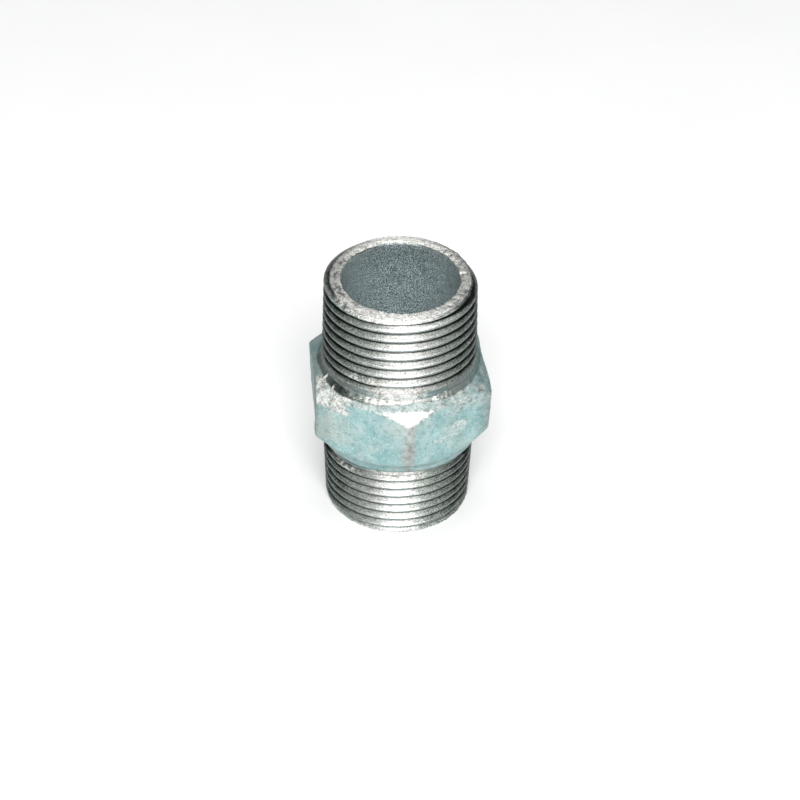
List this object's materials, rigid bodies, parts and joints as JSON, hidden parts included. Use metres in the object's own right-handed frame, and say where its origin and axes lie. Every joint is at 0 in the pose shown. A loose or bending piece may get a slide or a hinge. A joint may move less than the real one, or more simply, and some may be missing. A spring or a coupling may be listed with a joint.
{
  "type": "hexagon nipple",
  "caption": "Galvanised iron hexagon nipple: a wrench hexagon between a pair of male taper pipe threads, with a clear bore, to join female fittings of one size.",
  "frame": {"origin": "centre of the lower end face, on the pipe axis", "axes": "+Z along the pipe axis from the collar end to the plain shoulder end; two corners of the hexagon point along +Y and -Y and two wrench flats face +X and -X"},
  "size_m": [0.03, 0.034, 0.0457],
  "materials": {
    "galvanised_iron": "hot-dip galvanised casting with a mottled blue-grey zinc skin; threads and end faces cut afterwards to rough bare metal"
  },
  "bodies": {
    "root": {"hexagon_nipple_body": "galvanised_iron"}
  },
  "joints": []
}
